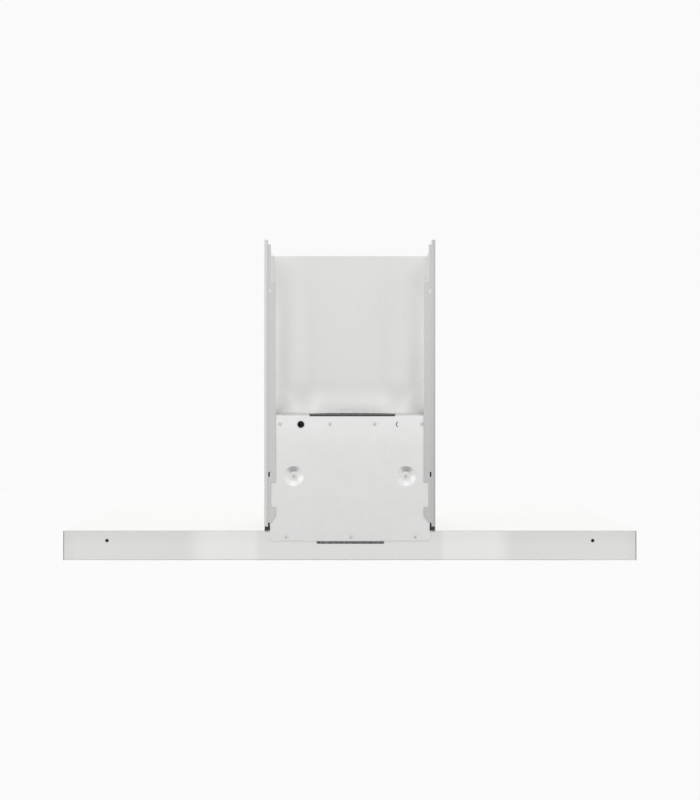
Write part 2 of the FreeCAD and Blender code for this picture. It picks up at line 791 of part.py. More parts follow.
def motor_shaft():
    start = Vector(scroll_x - hub_length / 2 - shaft_r, scroll_y, scroll_z)
    end = Vector(motor_face_x + motor_length / 2, scroll_y, scroll_z)
    return rod(shaft_r, start, end)


def motor():
    """A cast motor with ribs along it; the bracket's ring grips its smooth front end."""
    start = Vector(motor_face_x, scroll_y, scroll_z)
    end = start + X * motor_length
    pitch = 2 * half_turn / motor_rib_count
    root_r = motor_r - motor_rib_height
    outline = []
    for i in range(motor_rib_count):
        for share, radius in ((0, root_r), (1 - motor_rib_share, root_r),
                              (1 - motor_rib_share, motor_r), (1, motor_r)):
            angle = math.radians((i + share) * pitch)
            outline.append(start + Vector(0, math.cos(angle), math.sin(angle)) * radius)
    body = prism(outline, X * motor_length)
    front = rod(motor_r, start, start + X * bracket_ring_width)
    boss = rod(motor_boss_r, start - X * motor_boss_length, end + X * box_sheet)
    body = body.multiFuse([front, boss]).removeSplitter()
    bore = rod(shaft_r + shaft_clearance, start - X * motor_boss_length,
               start + X * (motor_length / 2 + shaft_r))
    return body.cut(bore)


def motor_bracket():
    """A ring clamped round the motor on three arms from the scroll's side."""
    centre = Vector(motor_face_x, scroll_y, scroll_z)
    body = tube(motor_r + bracket_ring, motor_r, centre, centre + X * bracket_ring_width)
    half = bracket_arm_width / 2
    inner = motor_r + bracket_ring / 2
    sheet = bracket_arm_sheet
    for i in range(bracket_arm_count):
        arm = block(motor_face_x, -half, inner, motor_face_x + sheet, half, bracket_foot_r)
        leg = block(scroll_face_x, -half, bracket_foot_r - sheet,
                    motor_face_x + sheet, half, bracket_foot_r)
        toe = block(scroll_face_x, -half, bracket_foot_r - sheet, scroll_face_x + sheet,
                    half, bracket_foot_r + half)
        limb = arm.fuse(leg).fuse(toe)
        limb.translate(Vector(0, scroll_y, scroll_z))
        limb.rotate(centre, X, bracket_arm_start + 2 * half_turn * i / bracket_arm_count)
        body = body.fuse(limb)
    return body.removeSplitter()


# ---------------------------------------------------------------- outlet and damper
def outlet_collar():
    """Black collar let into the box's top, with a socket for the duct and a ledge for the flaps."""
    start = Vector(scroll_x, outlet_y, panel_top)
    points = [
        (collar_socket_r, collar_rim_t), (collar_rim_r, collar_rim_t), (collar_rim_r, 0),
        (collar_body_r, 0), (collar_body_r, -collar_depth), (collar_ledge_r, -collar_depth),
        (collar_ledge_r, -collar_depth + collar_ledge_t),
        (collar_chamber_r, -collar_depth + collar_ledge_t),
        (collar_chamber_r, collar_rim_t - collar_socket_depth),
        (collar_socket_r, collar_rim_t - collar_socket_depth),
    ]
    body = turned(points, start)
    half = collar_tongue_width / 2
    rear = panel_sheet + collar_lip
    tongue = block(scroll_x - half, outlet_y, panel_top, scroll_x + half, rear,
                   panel_top + collar_rim_t)
    lip = block(scroll_x - half, panel_sheet, panel_top - collar_lip, scroll_x + half, rear,
                panel_top)
    mouth = rod(collar_body_r, start, start + Z * collar_rim_t)
    body = body.fuse(tongue.cut(mouth)).fuse(lip).removeSplitter()
    pin_reach = (collar_chamber_r + collar_body_r) / 2
    pin = rod(damper_pin_r, Vector(scroll_x - pin_reach, outlet_y, flap_axis_z),
              Vector(scroll_x + pin_reach, outlet_y, flap_axis_z))
    return body.cut(pin)


def damper_pin():
    pin_reach = (collar_chamber_r + collar_body_r) / 2
    return rod(damper_pin_r, Vector(scroll_x - pin_reach, outlet_y, flap_axis_z),
               Vector(scroll_x + pin_reach, outlet_y, flap_axis_z))


def knuckle_xs(side):
    """Middles of one flap's two knuckles; the other flap's two lie between them."""
    pitch = knuckle_length + 2 * knuckle_gap
    return [scroll_x + side * 0.5 * pitch, scroll_x - side * 1.5 * pitch]


def damper_flap(side):
    """A half-round flap; side +1 is towards the wall."""
    low = flap_axis_z - knuckle_r
    centre = Vector(scroll_x, outlet_y, low)
    disc = rod(flap_r, centre, centre + Z * flap_t)
    keep = block(scroll_x - collar_rim_r, outlet_y + side * flap_clearance, low,
                 scroll_x + collar_rim_r, outlet_y + side * collar_rim_r, low + flap_t)
    plate = disc.common(keep)
    for x in knuckle_xs(-side):
        gap = block(x - knuckle_length / 2 - knuckle_gap, outlet_y, low,
                    x + knuckle_length / 2 + knuckle_gap,
                    outlet_y + side * (knuckle_r + knuckle_gap), low + flap_t)
        plate = plate.cut(gap)
    body = plate
    for x in knuckle_xs(side):
        start = Vector(x - knuckle_length / 2, outlet_y, flap_axis_z)
        body = body.fuse(rod(knuckle_r, start, start + X * knuckle_length))
    pin_hole = rod(damper_pin_r + running_clearance, Vector(scroll_x - collar_rim_r, outlet_y, flap_axis_z),
                   Vector(scroll_x + collar_rim_r, outlet_y, flap_axis_z))
    body = body.cut(pin_hole)
    return body.removeSplitter()


# ---------------------------------------------------------------- electrical pieces
def capacitor():
    stud_r = capacitor_r / 4
    stud_top = capacitor_length + capacitor_stud_length
    points = [(0, 0), (capacitor_r, 0), (capacitor_r, capacitor_length - capacitor_rim),
              (capacitor_r - capacitor_rim, capacitor_length), (stud_r, capacitor_length),
              (stud_r, stud_top), (0, stud_top)]
    return turned(points, Vector(capacitor_x, capacitor_y, capacitor_z))


def capacitor_clip():
    middle = capacitor_z + capacitor_length / 2
    start = Vector(capacitor_x, capacitor_y, middle - clip_height / 2)
    band = tube(capacitor_r + clip_sheet, capacitor_r, start, start + Z * clip_height)
    wing = capacitor_r + clip_wing
    plate = block(-box_inner_x, capacitor_y - wing, start.z, -box_inner_x + clip_sheet,
                  capacitor_y + wing, start.z + clip_height)
    plate = plate.cut(rod(capacitor_r, start, start + Z * clip_height))
    return band.fuse(plate).removeSplitter()


def terminal_box():
    half = terminal_width / 2
    bottom = terminal_z - terminal_height / 2
    top = terminal_z + terminal_height / 2
    body = block(terminal_x - half, -terminal_depth, bottom, terminal_x + half, 0, top)
    wall = terminal_wall
    body = body.cut(block(terminal_x - half + wall, -terminal_depth, bottom + wall,
                          terminal_x + half - wall, -wall, top - wall))
    gland_at = Vector(terminal_x, -terminal_depth / 2, bottom)
    gland = tube(gland_r, gland_r - wall, gland_at - Z * gland_length, gland_at + Z * wall)
    body = body.cut(rod(gland_r - wall, gland_at, gland_at + Z * wall))
    return body.fuse(gland).removeSplitter()


def terminal_lid():
    half = terminal_width / 2
    lid = rounded_plate(terminal_width, terminal_height, terminal_wall,
                        (terminal_x, -terminal_depth - terminal_lid_t, terminal_z), terminal_lid_t)
    spigot = block(terminal_x - half + terminal_wall, -terminal_depth,
                   terminal_z - terminal_height / 2 + terminal_wall,
                   terminal_x + half - terminal_wall, -terminal_depth + terminal_wall,
                   terminal_z + terminal_height / 2 - terminal_wall)
    return lid.fuse(spigot).removeSplitter()


# ---------------------------------------------------------------- grease filters
def filter_frame(x):
    """An aluminium frame with two rear tabs and a pocket for the latch in its front bar."""
    half = filter_width / 2
    top = sill_z + filter_height
    frame = block(x - half, filter_front_y, sill_z, x + half, filter_rear_y, top)
    window = block(x - half + filter_bar, filter_front_y + filter_front_bar, sill_z,
                   x + half - filter_bar, filter_rear_y - filter_bar, top)
    frame = frame.cut(window)
    tab_offset = filter_width / 2 - tab_inset
    for offset in (-tab_offset, tab_offset):
        frame = frame.fuse(block(x + offset - tab_width / 2, filter_rear_y, sill_z,
                                 x + offset + tab_width / 2, filter_rear_y + tab_length, sill_z + tab_t))
    side = latch_width / 2 + latch_clearance
    depth = latch_length - latch_nose + latch_travel + latch_clearance
    pocket_top = top - latch_roof
    pocket = block(x - side, filter_front_y, sill_z, x + side, filter_front_y + depth, pocket_top)
    grooves = block(x - side - latch_rib, filter_front_y, latch_rib_z - latch_clearance,
                    x + side + latch_rib, filter_front_y + depth,
                    latch_rib_z + latch_rib_height + latch_clearance)
    return frame.cut(pocket).cut(grooves).removeSplitter()


def filter_latch(x):
    """The sprung slide that the hand draws back to free the filter's front edge."""
    low = sill_z + latch_clearance
    front = filter_front_y - latch_nose
    body = block(x - latch_width / 2, front, low, x + latch_width / 2, front + latch_length,
                 low + latch_height)
    ribs = block(x - latch_width / 2 - latch_rib, filter_front_y, latch_rib_z,
                 x + latch_width / 2 + latch_rib, front + latch_length,
                 latch_rib_z + latch_rib_height)
    grip = block(x - latch_width / 3, front + grip_wall, low,
                 x + latch_width / 3, front + latch_length - grip_wall, low + grip_depth)
    return body.fuse(ribs).cut(grip).removeSplitter()


def filter_mesh(x):
    """Pleated mesh between the frame's side bars."""
    half = filter_width / 2 - filter_bar
    front = filter_front_y + filter_front_bar
    rear = filter_rear_y - filter_bar
    count = int((rear - front) / mesh_pitch)
    pitch = (rear - front) / count
    base = sill_z + (filter_height - mesh_wave - mesh_sheet) / 2
    lower = []
    for i in range(2 * count + 1):
        height = base + (mesh_wave if i % 2 else 0.0)
        lower.append(Vector(x - half, front + i * pitch / 2, height))
    upper = [p + Z * mesh_sheet for p in reversed(lower)]
    return prism(lower + upper, X * (2 * half))


# ---------------------------------------------------------------- lamps
def lamp_bezel(x):
    """A flat ring round the lens, under the underframe."""
    outer = lamp_hole_r + lamp_bezel_width
    chamfer = lamp_bezel_t / 2
    points = [(lamp_lens_r, 0), (lamp_lens_r, -lamp_bezel_t), (outer - chamfer, -lamp_bezel_t),
              (outer, 0)]
    return turned(points, Vector(x, lamp_y, hem_top))


def lamp_can(x):
    """A spun can let into the underframe; its mouth holds the lens."""
    wall = lamp_can_wall
    points = [(lamp_lens_r, 0), (lamp_hole_r, 0), (lamp_can_r, wall), (lamp_can_r, lamp_can_height),
              (0, lamp_can_height), (0, lamp_can_height - wall),
              (lamp_lens_r, lamp_can_height - wall)]
    return turned(points, Vector(x, lamp_y, hem_top))


def lamp_lens(x):
    start = Vector(x, lamp_y, hem_top)
    return rod(lamp_lens_r, start, start + Z * lamp_lens_t)


# ---------------------------------------------------------------- controls
def control_bezel():
    bezel = slot_plate(bezel_width, bezel_height, (0, canopy_front_y - bezel_t, control_z), bezel_t)
    for x in button_xs:
        bezel = bezel.cut(rod(button_r + button_clearance, Vector(x, canopy_front_y - bezel_t, control_z),
                              Vector(x, canopy_front_y, control_z)))
    return bezel


def button_guide():
    """The housing behind the canopy's front that guides the buttons and holds the board."""
    back = canopy_front_y + canopy_sheet
    half_w = guide_width / 2
    half_h = guide_height / 2
    plate = block(-half_w, back, control_z - half_h, half_w, back + guide_t, control_z + half_h)
    for x in button_xs:
        plate = plate.cut(rod(button_r + button_clearance, Vector(x, back, control_z),
                              Vector(x, back + guide_t, control_z)))
    for side in (-1, 1):
        wall = block(-half_w, back, control_z + side * half_h, half_w, back + guide_depth,
                     control_z + side * (half_h - guide_wall))
        plate = plate.fuse(wall)
    return plate.removeSplitter()


def push_button(x):
    """A round button; two lugs behind the guide keep it in, its stem works the switch."""
    points = [(0, 0), (button_r - button_edge, 0), (button_r, button_edge),
              (button_r, button_lug_y - button_face_y), (0, button_lug_y - button_face_y)]
    cap = turned(points, Vector(x, button_face_y, control_z), Y)
    reach = button_r + button_lug
    lugs = block(x - button_lug_width / 2, button_lug_y, control_z - reach,
                 x + button_lug_width / 2, button_lug_y + button_lug_t, control_z + reach)
    half = button_stem_width / 2
    stem = block(x - half, button_lug_y, control_z - half, x + half, stem_end_y, control_z + half)
    return cap.multiFuse([lugs, stem]).removeSplitter()


def button_switches():
    half = switch_size / 2
    return group([block(x - half, switch_front_y, control_z - half, x + half, board_y, control_z + half)
                  for x in button_xs])


def control_board():
    half_w = guide_width / 2 - board_margin
    half_h = guide_height / 2 - guide_wall
    return block(-half_w, board_y, control_z - half_h, half_w, board_y + board_t, control_z + half_h)


# ---------------------------------------------------------------- write the pieces
def main():
    export("canopy_shell", canopy_shell())
    export("canopy_back", canopy_back())
    export("underframe", underframe())
    export("lower_chimney_cover", lower_chimney_cover())
    export("upper_chimney_cover", upper_chimney_cover())
    export("chimney_feet", chimney_feet())
    export("blower_box", blower_box())
    export("blower_back_panel", blower_back_panel())
    export("back_panel_screws", back_panel_screws())
    export("strap_screws", strap_screws())
    export("blower_strap", blower_strap())
    export("cable_grommet", cable_grommet())
    export("scroll_wrap", scroll_wrap())
    export("outlet_plate", outlet_plate())
    export("scroll_side_left", scroll_side(-1))
    export("scroll_side_right", scroll_side(1))
    export("impeller", impeller())
    export("motor_shaft", motor_shaft())
    export("motor", motor())
    export("motor_bracket", motor_bracket())
    export("outlet_collar", outlet_collar())
    export("damper_pin", damper_pin())
    export("damper_flap_rear", damper_flap(1))
    export("damper_flap_front", damper_flap(-1))
    export("capacitor", capacitor())
    export("capacitor_clip", capacitor_clip())
    export("terminal_box", terminal_box())
    export("terminal_lid", terminal_lid())
    for number, x in enumerate(filter_xs, start=1):
        export("filter_%d_frame" % number, filter_frame(x))
        export("filter_%d_mesh" % number, filter_mesh(x))
        export("filter_%d_latch" % number, filter_latch(x))
    for side, x in (("left", -lamp_x), ("right", lamp_x)):
        export("lamp_bezel_" + side, lamp_bezel(x))
        export("lamp_can_" + side, lamp_can(x))
        export("lamp_lens_" + side, lamp_lens(x))
    export("control_bezel", control_bezel())
    export("button_guide", button_guide())
    for number, x in enumerate(button_xs, start=1):
        export("button_%d" % number, push_button(x))
    export("button_switches", button_switches())
    export("control_board", control_board())


main()
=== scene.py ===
"""Looks of a wall chimney hood seen from the wall side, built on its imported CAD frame."""
import math

import bmesh
import bpy
from mathutils import Matrix, Vector


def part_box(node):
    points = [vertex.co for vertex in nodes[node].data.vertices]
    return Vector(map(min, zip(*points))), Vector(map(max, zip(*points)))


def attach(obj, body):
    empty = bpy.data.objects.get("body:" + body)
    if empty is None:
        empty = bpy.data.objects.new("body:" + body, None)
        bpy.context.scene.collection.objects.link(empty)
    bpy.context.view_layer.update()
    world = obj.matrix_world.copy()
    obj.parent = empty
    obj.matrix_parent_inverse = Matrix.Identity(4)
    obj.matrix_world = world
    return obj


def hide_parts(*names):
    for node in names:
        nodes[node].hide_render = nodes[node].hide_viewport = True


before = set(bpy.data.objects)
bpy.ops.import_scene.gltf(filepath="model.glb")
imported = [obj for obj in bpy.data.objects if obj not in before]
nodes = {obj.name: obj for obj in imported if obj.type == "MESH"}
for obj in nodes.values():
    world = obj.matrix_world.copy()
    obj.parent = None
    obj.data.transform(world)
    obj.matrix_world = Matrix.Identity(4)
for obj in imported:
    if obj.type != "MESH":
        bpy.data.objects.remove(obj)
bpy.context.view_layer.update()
X_AXIS, Y_AXIS, Z_AXIS = 0, 1, 2
COLOUR_A, COLOUR_B, COLOUR_OUT = 6, 7, 2  # the colour sockets of a Mix node

# the stage, in metres; the room's levels are (place, level) stops
NEAR_WHITE = (1.0, 1.0, 0.998)
BACKDROP = 0.956
ROOM_FADE = ((0.0, 0.46), (0.25, 0.66), (0.42, 0.9), (0.5, 0.95), (0.6, 1.0), (1.0, 1.0))  # upwards
ROOM_SIDES = ((0.0, 0.7), (0.08, 1.1), (0.3, 1.0), (0.7, 1.0), (0.92, 1.25), (1.0, 1.6))  # along +X
ROOM_START = (-0.85, 0.1)  # where along the view's Y the backdrop gives way to the room
CAMERA_PLACE = (-0.0003, 2.1963, 0.2206)
CAMERA_SENSOR, CAMERA_LENS = 36.0, 63.0  # millimetres
CAMERA_REACH = 50.0
FLOOR_HEIGHT, FLOOR_SIZE, FLOOR_COLOUR, FLOOR_GLOW = -1.9, 60.0, 0.1, 0.86
CARD_COLOUR = 0.05
RIGHT_ANGLE = math.radians(90.0)
LEVEL, UPRIGHT, SIDEWAYS = (0.0, 0.0, 0.0), (RIGHT_ANGLE, 0.0, 0.0), (0.0, RIGHT_ANGLE, 0.0)
CARDS = (  # name, place, turn, width, depth, glow
    ("dim_card", (0.0, 1.9, -1.0), LEVEL, 1.5, 3.2, 0.3),
    ("front_card", (0.0, -2.6, -0.95), UPRIGHT, 6.0, 1.7, 0.32),
    ("upper_card", (0.0, -3.2, 3.1), UPRIGHT, 8.0, 3.2, 0.5),
    ("left_card", (-2.6, -1.15, -0.4), SIDEWAYS, 2.6, 2.7, 0.45),
    ("right_card", (2.6, -1.15, -0.4), SIDEWAYS, 2.6, 2.7, 0.45),
)
LIGHTS = (  # name, place, target, width, height, power
    ("front_top", (0.0, -2.2, 2.6), (0.0, -0.3, 0.1), 3.0, 1.2, 15.0),
    ("rear_top", (0.0, 1.3, 2.3), (0.0, 0.0, 0.1), 1.8, 0.9, 2.0),
)

# surfaces: counts per metre, shares of a mixed pattern, and the reach of the painted shade beside steps and
# in corners, and of rounded edges in metres
SCRATCHES, SCRATCHES_ALONG = 2600.0, 14.0
STREAKS, STREAKS_ALONG = 260.0, 3.0
MARKS = 5.0
SCRATCH_SHARE, STREAK_SHARE, MARK_SHARE = 0.4, 0.25, 0.35
BRUSHED_SWING, PLATED_SWING, MOULDED_SWING = 0.015, 0.01, 0.1  # of the colour, both ways
SPANGLES, STAINS, PEEL = 85.0, 7.0, 900.0
MOULD_CLOUDS = 30.0
FROST = 1800.0
# reach and samples of the painted shade beside steps and in corners
CREASE_SHADE_REACH = 0.004
CREASE_SHADE_SAMPLES, EDGE_SAMPLES = 8, 6
SHEET_EDGE, PLATED_EDGE, COVER_EDGE = 0.0006, 0.0012, 0.001
STEEL = (0.79, 0.79, 0.78)
ZINC = (0.812, 0.812, 0.806)
COVER_STEEL = (1.0, 1.0, 0.99)

# painted light and shade on the chimney covers: levels, and the places in metres between which they change
# the flanges' level is painted shade
COVER_FLANGE_SHADE, COVER_INSIDE, COVER_OUTSIDE = 0.62, 0.758, 0.74
COVER_SHEET = 0.001
SKIN_BLUR = 0.0002
SKIN_DEPTHS = (-0.004, -0.001)  # the outer skin's tone ends here, before the flanges
PAINTED_LIFT_LOW, PAINTED_LIFT_HIGH = 0.22, 0.05  # painted light added towards the folds, low down and at the top
LIFT_ACROSS, LIFT_HEIGHTS = (0.06, 0.125), (0.33, 0.465)
FOOT_PAINTED_LIGHT, FOOT_HEIGHTS = 1.34, (0.198, 0.25)  # painted light at the foot, behind the blower
DIP_PAINTED_SHADE, DIP_HEIGHTS = 0.16, (0.21, 0.26)  # painted shade taken off either side of the middle, low on the far wall
DIP_START, DIP_END = (0.055, 0.084), (0.09, 0.118)
FLANGE_DEPTHS = (-0.014, -0.002)
FLANGE_FOOT_SHADE = (0.86, 0.95)  # painted shade: how dark the flanges are at their foot, on the -X and +X side
FLANGE_SIDES, FLANGE_HEIGHTS = (-0.1, 0.1), (0.0, 0.4)
FLANGE_FOLD_LIGHT_AND_SHADE, FOLD_ACROSS = 0.12, (0.129, 0.1315)  # painted light on the +X side, painted shade on the -X side

# painted light and shade on the blower's panel and on the canopy
PANEL_LEVELS, PANEL_HEIGHTS = (0.965, 1.03), (0.13, 0.19)
BOX_TOP_PAINTED_LIGHT, BOX_TOP_HEIGHTS = 0.17, (0.1955, 0.197)
# canopy: painted light beside the chimney, painted shade further out and towards the ends
BESIDE_PAINTED_LIGHT, BESIDE_START = 0.09, (0.138, 0.152)
OUTER_PAINTED_SHADE, OUTER_START = -0.125, (0.225, 0.262)
END_PAINTED_SHADE, END_START = 0.955, (0.425, 0.45)
# canopy: painted shade on the top, and painted highlights along the folds
UPPER_PAINTED_SHADE, UPPER_HEIGHTS = -0.055, (-0.012, 0.012)
TOP_FOLD_HIGHLIGHT, TOP_FOLD_HEIGHTS = 0.22, (0.0136, 0.0150)
LOW_FOLD_HIGHLIGHT, LOW_FOLD_HEIGHTS = 0.18, (-0.0306, -0.0290)
# painted light on the canopy's top plate
TOP_PLATE_PAINTED_LIGHT, TOP_PLATE_HEIGHTS = 1.25, (0.0138, 0.0150)

# pieces, in metres, and shares of a screw head's radius and height
WELD = 1e-7
SCREW_CORE = 0.52
SCREW_TIP, TIP_LENGTH, THREAD_CREST = 0.6, 0.5, 1.22  # of the core's radius
SCREW_PITCH = 0.0009
THREAD_FLANK = 0.3  # of the pitch
HEAD_PROFILE = ((0.94, 0.0), (1.0, 0.15), (1.0, 0.45), (0.9, 0.76), (0.74, 0.95))
HEAD_CROWN = 0.62
CROSS_REACH, CROSS_WIDTH, CROSS_TAPER, CROSS_DEPTH = 0.5, 0.12, 0.55, 0.6
TURN_STEPS, LENS_STEPS = 40, 72
PANEL_HEAD = 0.0014
STRAP_HEAD = 0.0019
CELL_SHAPE = 0.5  # a cell's width along Y as a share of its length along X
FINE_CELL = 0.0098
COARSE_CELL = 0.0145
STRAND = 0.0008
LAYER_LIFT = 0.0004
PLEATS = 23
LENS_RING = 0.0021
LENS_DEPTH = 0.0004
RINGS_REACH, RIM_START = 0.85, 0.9  # of the lens's radius


# ---------------------------------------------------------------- stage
def level_ramp(tree, value, stops):
    """Grey levels along a value from 0 to 1, by (place, level) stops."""
    node = tree.nodes.new("ShaderNodeValToRGB")
    elements = node.color_ramp.elements
    elements[0].position, elements[1].position = stops[0][0], stops[-1][0]
    for position, level in stops[1:-1]:
        elements.new(position)
    for element, (position, level) in zip(elements, stops):
        element.color = (level, level, level, 1.0)
    tree.links.new(value, node.inputs["Fac"])
    return node.outputs["Color"]


def set_world():
    """The backdrop is even white; what the metal reflects fades from bright above to dim below."""
    world = bpy.data.worlds.new("studio")
    bpy.context.scene.world = world
    world.use_nodes = True
    tree = world.node_tree
    place = tree.nodes.new("ShaderNodeTexCoord")
    axes = tree.nodes.new("ShaderNodeSeparateXYZ")
    tree.links.new(place.outputs["Generated"], axes.inputs["Vector"])
    height = level_ramp(tree, spread(tree, axes.outputs["Z"], 0.0, 1.0, -1.0, 1.0), ROOM_FADE)
    side = level_ramp(tree, spread(tree, axes.outputs["X"], 0.0, 1.0, -1.0, 1.0), ROOM_SIDES)
    room = toned(tree, height, side)
    mixed = tree.nodes.new("ShaderNodeMix")
    mixed.data_type = "RGBA"
    sight = tree.nodes.new("ShaderNodeLightPath").outputs["Is Camera Ray"]
    away = smooth(tree, axes.outputs["Y"], 0.0, 1.0, *ROOM_START)
    unseen = maths(tree, "SUBTRACT", 1.0, sight)
    tree.links.new(maths(tree, "MULTIPLY", away, unseen), mixed.inputs["Factor"])
    mixed.inputs[COLOUR_A].default_value = (*scaled(NEAR_WHITE, BACKDROP), 1.0)
    tree.links.new(room, mixed.inputs[COLOUR_B])
    background = tree.nodes["Background"]
    tree.links.new(mixed.outputs[COLOUR_OUT], background.inputs["Color"])


def softbox(name, place, target, width, height, power):
    """A large soft light that the camera doesn't see."""
    data = bpy.data.lights.new(name, "AREA")
    data.shape = "RECTANGLE"
    data.size = width
    data.size_y = height
    data.energy = power
    light = bpy.data.objects.new(name, data)
    light.location = place
    light.rotation_euler = (Vector(target) - Vector(place)).to_track_quat("-Z", "Y").to_euler()
    light.visible_camera = False
    bpy.context.scene.collection.objects.link(light)


def photo_camera():
    """Level with the middle of the object, looking at its wall side."""
    data = bpy.data.cameras.new("photo_camera")
    data.sensor_width = CAMERA_SENSOR
    data.lens = CAMERA_LENS
    data.clip_end = CAMERA_REACH
    camera = bpy.data.objects.new("photo_camera", data)
    camera.location = CAMERA_PLACE
    camera.rotation_euler = (RIGHT_ANGLE, 0.0, math.pi)
    bpy.context.scene.collection.objects.link(camera)
    bpy.context.scene.camera = camera


def flat_plate(name, place, angles, width, depth, colour, glow):
    """A flat plate of the stage, which gives off most of its own light."""
    mesh = bpy.data.meshes.new(name)
    bm = bmesh.new()
    bmesh.ops.create_grid(bm, x_segments=8, y_segments=8, size=0.5,
                          matrix=Matrix.Diagonal((width, depth, 1.0, 1.0)))
    bm.to_mesh(mesh)
    bm.free()
    plate = bpy.data.objects.new(name, mesh)
    plate.location = place
    plate.rotation_euler = angles
    bpy.context.scene.collection.objects.link(plate)
    material, tree, bsdf = shader(name, (colour, colour, colour), 0.0, 0.9)
    bsdf.inputs["Specular IOR Level"].default_value = 0.0
    bsdf.inputs["Emission Color"].default_value = (*NEAR_WHITE, 1.0)
    bsdf.inputs["Emission Strength"].default_value = glow
    plate.data.materials.append(material)
    return plate


def set_floor():
    """A pale floor far below the hood, which hangs on a wall, and dim cards that only reflections meet."""
    flat_plate("floor", (0.0, 0.0, FLOOR_HEIGHT), LEVEL, FLOOR_SIZE, FLOOR_SIZE, FLOOR_COLOUR, FLOOR_GLOW)
    for name, place, angles, width, depth, glow in CARDS:
        card = flat_plate(name, place, angles, width, depth, CARD_COLOUR, glow)
        card.visible_camera = False
        card.visible_shadow = False


# ---------------------------------------------------------------- materials
def shader(name, colour, metallic, roughness):
    material = bpy.data.materials.new(name)
    material.use_nodes = True
    bsdf = material.node_tree.nodes["Principled BSDF"]
    bsdf.inputs["Base Color"].default_value = (*colour, 1.0)
    bsdf.inputs["Metallic"].default_value = metallic
    bsdf.inputs["Roughness"].default_value = roughness
    return material, material.node_tree, bsdf


def noise(tree, stretch, detail=2.0, roughness=0.5):
    """Noise over the object's own metres, stretched by a count per metre along each axis."""
    place = tree.nodes.new("ShaderNodeTexCoord")
    mapping = tree.nodes.new("ShaderNodeMapping")
    mapping.inputs["Scale"].default_value = stretch
    texture = tree.nodes.new("ShaderNodeTexNoise")
    texture.inputs["Scale"].default_value = 1.0
    texture.inputs["Detail"].default_value = detail
    texture.inputs["Roughness"].default_value = roughness
    tree.links.new(place.outputs["Object"], mapping.inputs["Vector"])
    tree.links.new(mapping.outputs["Vector"], texture.inputs["Vector"])
    return texture.outputs["Fac"]


def spread(tree, value, low, high, from_low=0.3, from_high=0.7):
    """Maps a noise value onto a range of numbers."""
    node = tree.nodes.new("ShaderNodeMapRange")
    node.inputs["From Min"].default_value = from_low
    node.inputs["From Max"].default_value = from_high
    node.inputs["To Min"].default_value = low
    node.inputs["To Max"].default_value = high
    tree.links.new(value, node.inputs["Value"])
    return node.outputs["Result"]


def smooth(tree, value, low, high, start, end):
    """Runs smoothly from low to high as the value goes from start to end."""
    node = tree.nodes.new("ShaderNodeMapRange")
    node.interpolation_type = "SMOOTHSTEP"
    for socket, number in zip(("From Min", "From Max", "To Min", "To Max"), (start, end, low, high)):
        node.inputs[socket].default_value = number
    tree.links.new(value, node.inputs["Value"])
    return node.outputs["Result"]


def maths(tree, operation, first, second):
    node = tree.nodes.new("ShaderNodeMath")
    node.operation = operation
    for socket, value in zip(node.inputs, (first, second)):
        if isinstance(value, float):
            socket.default_value = value
        else:
            tree.links.new(value, socket)
    return node.outputs["Value"]


def blended(tree, first, second, share):
    """A number between two, by a share from 0 to 1."""
    kept = maths(tree, "MULTIPLY", first, maths(tree, "SUBTRACT", 1.0, share))
    return maths(tree, "ADD", kept, maths(tree, "MULTIPLY", share, second))


def tint(tree, value, dark, light):
    """A colour between two, by a value from 0 to 1."""
    node = tree.nodes.new("ShaderNodeMix")
    node.data_type = "RGBA"
    tree.links.new(value, node.inputs["Factor"])
    node.inputs["A"].default_value = (*dark, 1.0)
    node.inputs["B"].default_value = (*light, 1.0)
    return node.outputs["Result"]


def rounded_normal(tree, radius):
    """Lets sharp edges catch the light as if they were rounded."""
    node = tree.nodes.new("ShaderNodeBevel")
    node.samples = EDGE_SAMPLES
    node.inputs["Radius"].default_value = radius
    return node.outputs["Normal"]


def painted_shade_in_creases(tree, colour, darkest):
    """Painted shade: darkens a colour beside steps and in corners, where shade falls."""
    node = tree.nodes.new("ShaderNodeAmbientOcclusion")
    node.samples = CREASE_SHADE_SAMPLES
    node.inputs["Distance"].default_value = CREASE_SHADE_REACH
    level = spread(tree, node.outputs["AO"], darkest, 1.0, 0.0, 1.0)
    return toned(tree, colour, level)


def bump(tree, bsdf, height, strength, distance, edge=None):
    node = tree.nodes.new("ShaderNodeBump")
    if edge:
        tree.links.new(rounded_normal(tree, edge), node.inputs["Normal"])
    node.inputs["Strength"].default_value = strength
    node.inputs["Distance"].default_value = distance
    tree.links.new(height, node.inputs["Height"])
    tree.links.new(node.outputs["Normal"], bsdf.inputs["Normal"])


def along_axis(tree, axis):
    """The object's own coordinate along one axis, in metres."""
    place = tree.nodes.new("ShaderNodeTexCoord")
    axes = tree.nodes.new("ShaderNodeSeparateXYZ")
    tree.links.new(place.outputs["Object"], axes.inputs["Vector"])
    return axes.outputs["XYZ"[axis]]


def toned(tree, colour, level):
    """A colour made darker or lighter by a level that varies from place to place."""
    node = tree.nodes.new("ShaderNodeVectorMath")
    node.operation = "SCALE"
    tree.links.new(colour, node.inputs[0])
    tree.links.new(level, node.inputs["Scale"])
    return node.outputs["Vector"]


def scaled(colour, factor):
    return tuple(channel * factor for channel in colour)


def around(colour, swing):
    """A colour a little darker, and a little lighter."""
    return scaled(colour, 1.0 - swing), scaled(colour, 1.0 + swing)


